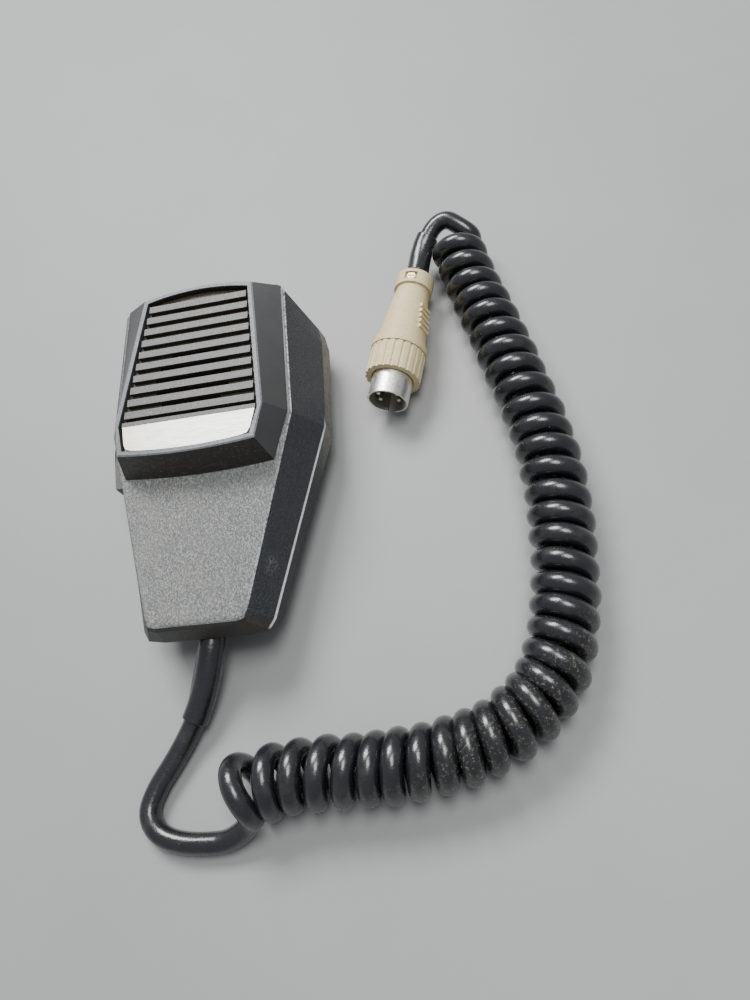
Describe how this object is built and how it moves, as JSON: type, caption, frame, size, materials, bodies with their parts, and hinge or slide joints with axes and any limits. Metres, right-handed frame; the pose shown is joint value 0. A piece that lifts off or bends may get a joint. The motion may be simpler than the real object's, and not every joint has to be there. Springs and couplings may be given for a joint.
{
  "type": "hand-held radio microphone",
  "caption": "Hand-held two-way radio microphone with a louvred grille, side talk lever, rear hang-up stud and a curly cord that ends in a locking round plug.",
  "frame": {"origin": "centre of the hang-up stud's flat face, on the table that the microphone lies on", "axes": "+Z out of the grille, +Y along the case towards its head, +X to the right seen from the front"},
  "size_m": [0.1458, 0.2007, 0.0392],
  "materials": {
    "case": "leather-grained, satin",
    "rear_case": "satin",
    "grille": "satin, dusty",
    "nameplate": "satin, blank",
    "stud_metal": "polished, worn",
    "screw_steel": "plated",
    "lever": "satin",
    "spring_steel": "bright",
    "inner_plastic": "plain",
    "white_plastic": "plain",
    "brass": "tinned",
    "board": "laminate",
    "board_parts": "lacquered",
    "wire": "insulated",
    "capsule_metal": "drawn",
    "magnet": "sintered",
    "copper_wire": "enamelled",
    "diaphragm": "film",
    "cloth": "woven",
    "cord_rubber": "glossy",
    "plug_plastic": "satin tan",
    "barrel_metal": "bright nickel",
    "contact_metal": "plated"
  },
  "bodies": {
    "microphone": {"back_shell": "rear_case", "board_parts": "board_parts", "board_screws": "screw_steel", "capsule_front": "capsule_metal", "capsule_gasket": "cord_rubber", "capsule_housing": "capsule_metal", "capsule_magnet": "magnet", "case_screws": "screw_steel", "circuit_board": "board", "clamp_screws": "screw_steel", "cord_clamp": "inner_plastic", "cord_coil": "cord_rubber", "cord_lead_mic": "cord_rubber", "cord_lead_plug": "cord_rubber", "cord_sleeve": "cord_rubber", "diaphragm": "diaphragm", "dust_screen": "cloth", "front_shell": "case", "grille_insert": "grille", "hang_stud": "stud_metal", "lead_wires": "wire", "nameplate": "nameplate", "plug_barrel": "barrel_metal", "plug_clamp": "plug_plastic", "plug_clamp_screw": "screw_steel", "plug_insulator": "inner_plastic", "plug_pins": "contact_metal", "plug_shell": "plug_plastic", "plug_sleeve": "cord_rubber", "ptt_pin": "screw_steel", "ptt_spring": "spring_steel", "spring_post": "inner_plastic", "stud_nut": "screw_steel", "stud_screw": "screw_steel", "switch_body": "inner_plastic", "switch_contacts": "brass", "voice_coil": "copper_wire"},
    "talk_lever": {"ptt_lever": "lever"},
    "switch_button": {"switch_plunger": "white_plastic"},
    "locking_ring": {"plug_lock_ring": "plug_plastic"}
  },
  "joints": [
    {"name": "talk_press", "type": "hinge", "parent": "microphone", "child": "talk_lever", "pos_m": [-0.0275, 0.022, 0.0146], "axis": [0, 0, 1], "range_deg": [0, 6], "stiffness_Nm_per_rad": 0.5, "springref_deg": -5.73, "deforming": ["ptt_spring"]},
    {"name": "button_travel", "type": "slide", "parent": "microphone", "child": "switch_button", "axis": [1, 0, 0], "range_m": [0, 0.0023]},
    {"name": "ring_turn", "type": "hinge", "parent": "microphone", "child": "locking_ring", "pos_m": [0.05678, 0.03309, 0.00925], "axis": [-0.2431, -0.97, 0], "range_deg": [0, 45]}
  ],
  "couplings": [
    {"joint": "button_travel", "follows": "talk_press", "m_per_rad": 0.021}
  ]
}
